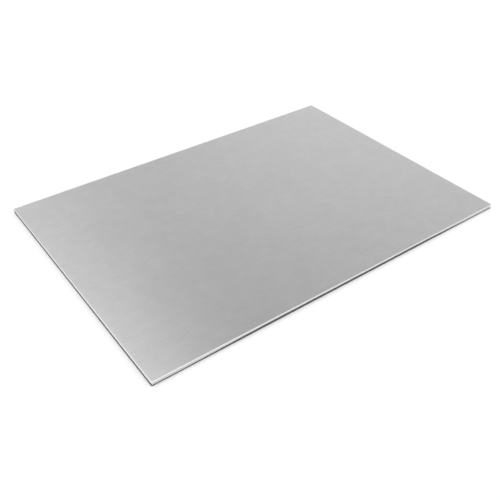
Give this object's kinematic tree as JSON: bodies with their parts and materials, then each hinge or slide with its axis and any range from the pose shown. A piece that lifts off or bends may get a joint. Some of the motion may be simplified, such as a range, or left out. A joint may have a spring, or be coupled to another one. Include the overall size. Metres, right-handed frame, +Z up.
{
  "type": "aluminum sheet",
  "caption": "Flat rectangular aluminum sheet in a mill finish, with a fine grain along its length, square cut edges and deburred corners.",
  "frame": {"origin": "middle of the underside, on the surface that the sheet lies on", "axes": "+X along the length, which the rolling grain follows; +Y along the width; +Z up through the thickness"},
  "size_m": [0.42, 0.3, 0.005],
  "materials": {
    "aluminum": "satin mill finish with a fine rolling grain along the length"
  },
  "bodies": {
    "root": {"sheet": "aluminum"}
  },
  "joints": []
}
